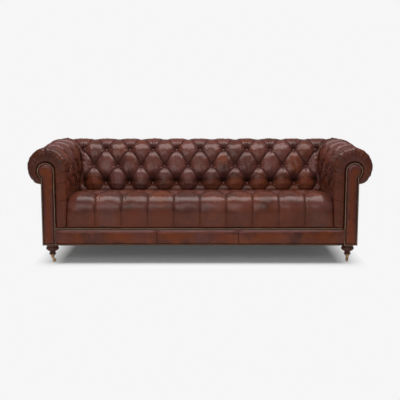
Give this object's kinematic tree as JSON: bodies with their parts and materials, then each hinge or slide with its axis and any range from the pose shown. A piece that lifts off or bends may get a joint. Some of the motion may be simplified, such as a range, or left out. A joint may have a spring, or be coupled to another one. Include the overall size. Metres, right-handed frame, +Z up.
{
  "type": "chesterfield sofa",
  "caption": "Long leather sofa with rolled arms and back of one height, deep diamond buttoning, studded borders, turned feet and small brass castors.",
  "frame": {"origin": "on the floor, under the middle of the sofa's outline", "axes": "+Z up, -Y towards the front where people sit down, +X to the right seen from the front"},
  "size_m": [2.26, 0.93, 0.7777],
  "materials": {
    "leather": "satin",
    "border_leather": "satin",
    "aged_brass": "satin",
    "polished_wood": "gloss",
    "frame_wood": "matte",
    "ply": "matte",
    "spring_steel": "satin",
    "hessian": "matte",
    "foam": "matte",
    "black_cloth": "matte"
  },
  "bodies": {
    "sofa": {"front_rail": "frame_wood", "back_rail": "frame_wood", "side_rail_left": "frame_wood", "side_rail_right": "frame_wood", "seat_stretcher": "frame_wood", "front_corner_block_left": "frame_wood", "front_corner_block_right": "frame_wood", "rear_corner_block_left": "frame_wood", "rear_corner_block_right": "frame_wood", "arm_front_board_left": "ply", "arm_front_board_right": "ply", "arm_rear_board_left": "ply", "arm_rear_board_right": "ply", "arm_top_rail_left": "frame_wood", "arm_top_rail_right": "frame_wood", "arm_tack_rail_left": "frame_wood", "arm_tack_rail_right": "frame_wood", "arm_liner_left": "ply", "arm_liner_right": "ply", "back_board_inner_left": "ply", "back_board_inner_right": "ply", "back_board_outer_left": "ply", "back_board_outer_right": "ply", "back_top_rail": "frame_wood", "back_tack_rail": "frame_wood", "back_liner": "ply", "seat_spring_inner_left": "spring_steel", "seat_spring_inner_right": "spring_steel", "seat_spring_outer_left": "spring_steel", "seat_spring_outer_right": "spring_steel", "seat_hessian": "hessian", "seat_foam": "foam", "seat_pad": "leather", "back_pad": "leather", "arm_pad_left": "leather", "arm_pad_right": "leather", "front_border": "border_leather", "facing_panel_left": "border_leather", "facing_panel_right": "border_leather", "outside_arm_panel_left": "leather", "outside_arm_panel_right": "leather", "outside_back_panel": "leather", "dust_cover": "black_cloth", "border_stud_strip_lower": "aged_brass", "border_stud_strip_upper": "aged_brass", "facing_stud_strip_left": "aged_brass", "facing_stud_strip_right": "aged_brass", "front_foot_left": "polished_wood", "front_foot_right": "polished_wood", "rear_foot_left": "polished_wood", "rear_foot_right": "polished_wood", "castor_cup_left": "aged_brass", "castor_cup_right": "aged_brass"},
    "castor_left": {"castor_fork_left": "aged_brass", "castor_axle_left": "aged_brass"},
    "castor_right": {"castor_fork_right": "aged_brass", "castor_axle_right": "aged_brass"},
    "wheel_left": {"castor_wheel_left": "aged_brass"},
    "wheel_right": {"castor_wheel_right": "aged_brass"}
  },
  "joints": [
    {"name": "castor_left_swivel", "type": "hinge", "parent": "sofa", "child": "castor_left", "pos_m": [-0.986, -0.405, 0.03], "axis": [0, 0, 1], "continuous": true},
    {"name": "castor_right_swivel", "type": "hinge", "parent": "sofa", "child": "castor_right", "pos_m": [0.986, -0.405, 0.03], "axis": [0, 0, 1], "continuous": true},
    {"name": "wheel_left_roll", "type": "hinge", "parent": "castor_left", "child": "wheel_left", "pos_m": [-0.976, -0.405, 0.0123], "axis": [0, 1, 0], "continuous": true},
    {"name": "wheel_right_roll", "type": "hinge", "parent": "castor_right", "child": "wheel_right", "pos_m": [0.986, -0.395, 0.0123], "axis": [1, 0, 0], "continuous": true}
  ]
}
